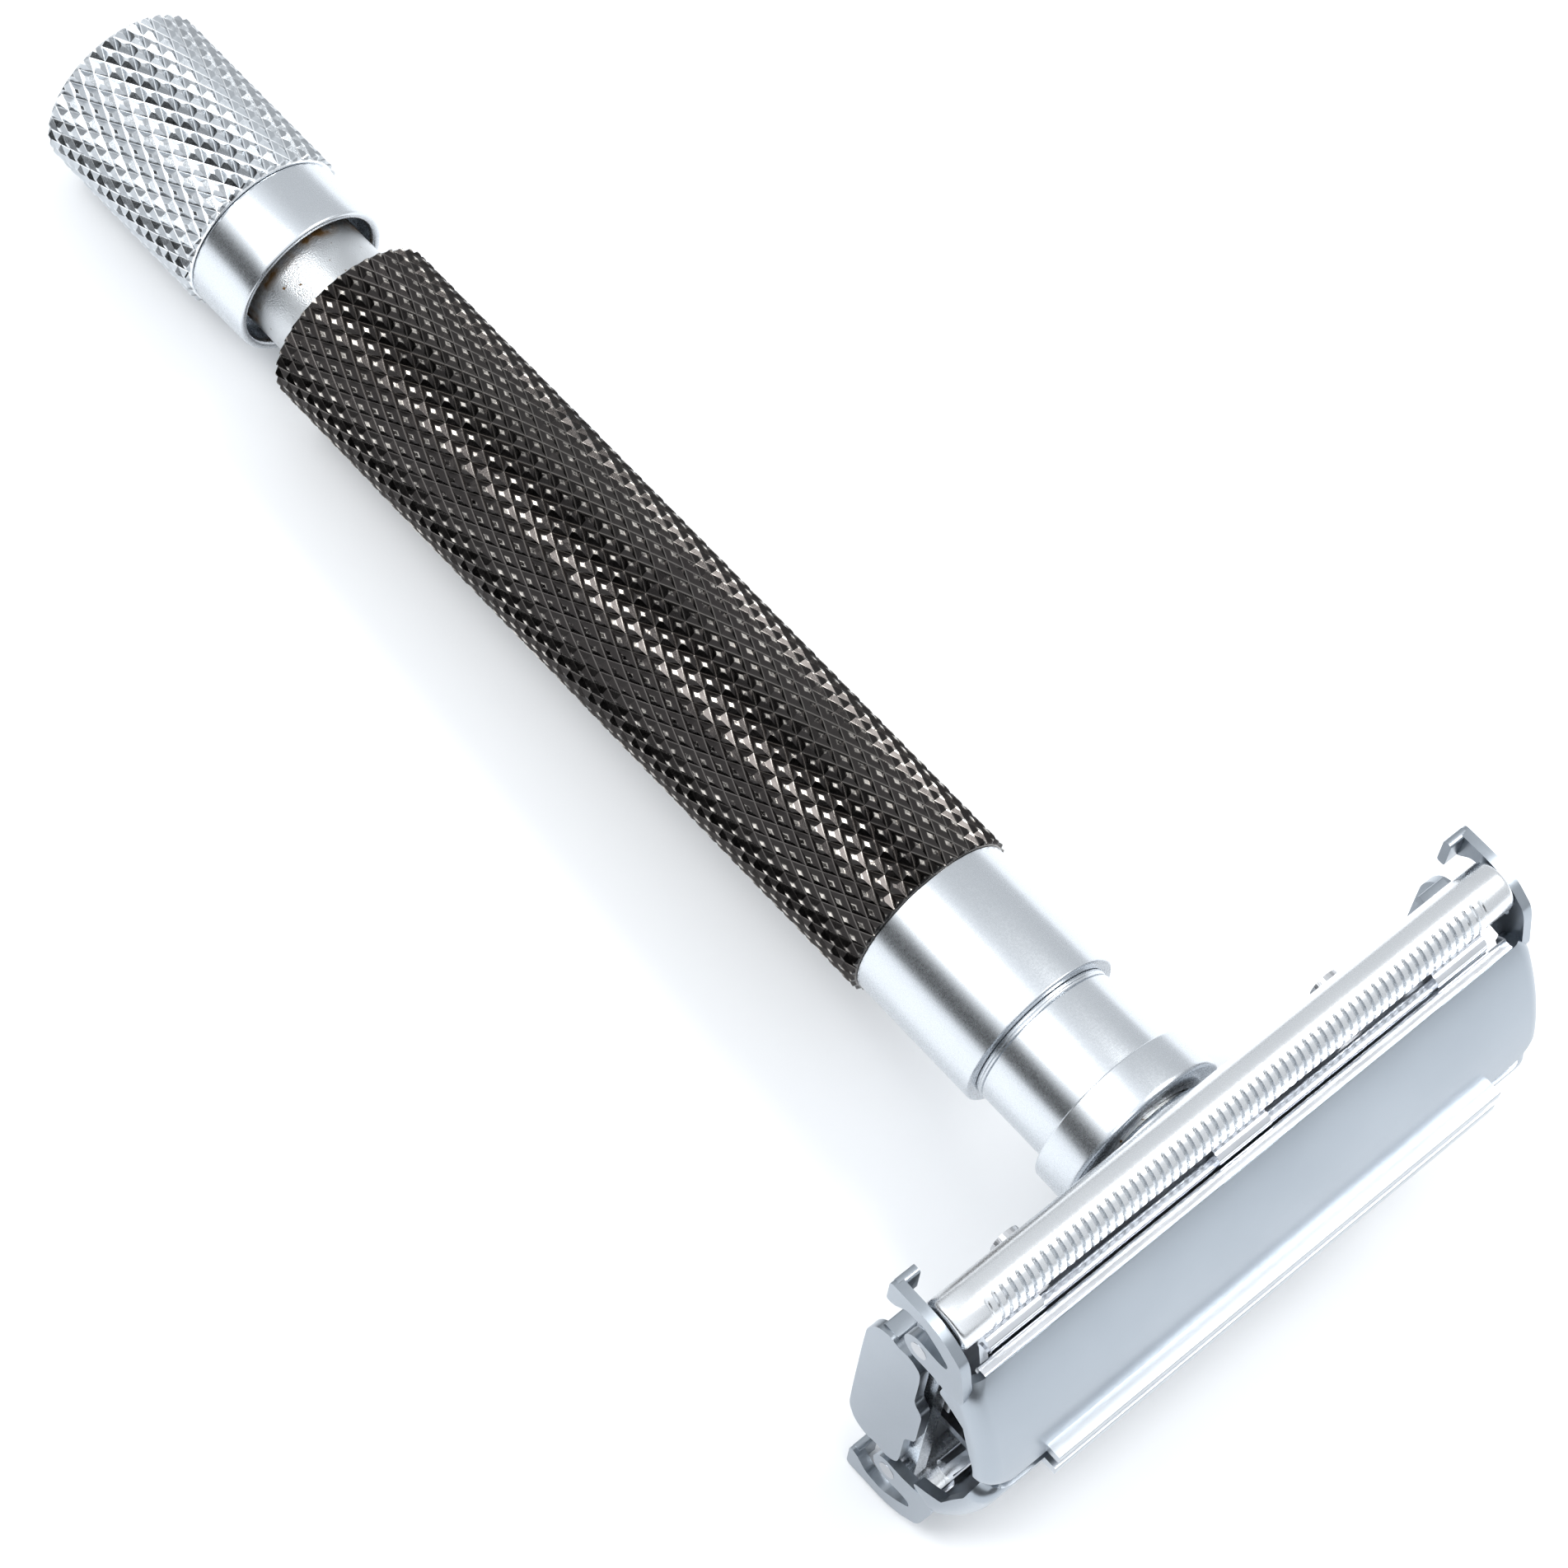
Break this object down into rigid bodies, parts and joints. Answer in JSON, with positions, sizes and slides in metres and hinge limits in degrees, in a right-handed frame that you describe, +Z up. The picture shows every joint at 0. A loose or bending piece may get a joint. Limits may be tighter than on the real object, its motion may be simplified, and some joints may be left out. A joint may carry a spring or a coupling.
{
  "type": "safety razor",
  "caption": "Twist-to-open safety razor: knurled handle and knob, guard plate with round bars, and hinged doors that close over the blade.",
  "frame": {"origin": "centre of the box's underside, on the surface that the razor lies on", "axes": "+X along the razor from the knob to the head, +Y along the head, +Z up from the surface it lies on"},
  "size_m": [0.1068, 0.044, 0.0269],
  "materials": {
    "knurled_chrome": "satin chrome over a diamond knurl",
    "satin_chrome": "satin chrome",
    "bright_chrome": "bright chrome",
    "gunmetal_grip": "dark gunmetal over a diamond knurl, worn bright on the tips",
    "plated_tube": "plain plated tube with a little residue",
    "machined_brass": "machined",
    "turned_steel": "turned"
  },
  "bodies": {
    "handle": {"handle_tube": "plated_tube", "grip_sleeve": "gunmetal_grip", "front_ferrule": "satin_chrome", "neck_ferrule": "satin_chrome", "head_collar": "satin_chrome", "guard_seat": "satin_chrome", "rear_bush": "machined_brass", "front_bush": "machined_brass", "guard_plate": "satin_chrome", "blade_rest_upper": "bright_chrome", "blade_rest_lower": "bright_chrome", "rest_rivet_1": "turned_steel", "rest_rivet_2": "turned_steel", "rest_rivet_3": "turned_steel", "rest_rivet_4": "turned_steel"},
    "knob": {"knob_body": "knurled_chrome", "knob_collar": "satin_chrome", "lead_screw": "machined_brass", "tension_washer": "turned_steel", "thrust_collar": "machined_brass"},
    "carriage": {"lift_nut": "machined_brass", "lift_rod": "turned_steel", "centre_bar": "turned_steel", "end_bracket_left": "turned_steel", "end_bracket_right": "turned_steel", "end_plate_left": "satin_chrome", "end_plate_right": "satin_chrome", "hinge_pin_upper_left": "turned_steel", "hinge_pin_lower_left": "turned_steel", "hinge_pin_upper_right": "turned_steel", "hinge_pin_lower_right": "turned_steel"},
    "upper_door": {"door_upper": "satin_chrome"},
    "lower_door": {"door_lower": "satin_chrome"}
  },
  "joints": [
    {"name": "knob_turn", "type": "hinge", "parent": "handle", "child": "knob", "pos_m": [-0.05296, 0, 0.00595], "axis": [-0.9971, 0, -0.0757], "range_deg": [0, 540]},
    {"name": "carriage_lift", "type": "slide", "parent": "handle", "child": "carriage", "axis": [0.9971, 0, 0.0757], "range_m": [0, 0.0045]},
    {"name": "upper_door_swing", "type": "hinge", "parent": "carriage", "child": "upper_door", "pos_m": [0.04474, 0, 0.02229], "axis": [0, -1, 0], "range_deg": [0, 66]},
    {"name": "lower_door_swing", "type": "hinge", "parent": "carriage", "child": "lower_door", "pos_m": [0.04608, 0, 0.00454], "axis": [0, 1, 0], "range_deg": [0, 66]}
  ],
  "couplings": [
    {"joint": "knob_turn", "follows": "carriage_lift", "rad_per_m": 2094},
    {"joint": "upper_door_swing", "follows": "carriage_lift", "rad_per_m": 255.9},
    {"joint": "lower_door_swing", "follows": "carriage_lift", "rad_per_m": 255.9}
  ]
}
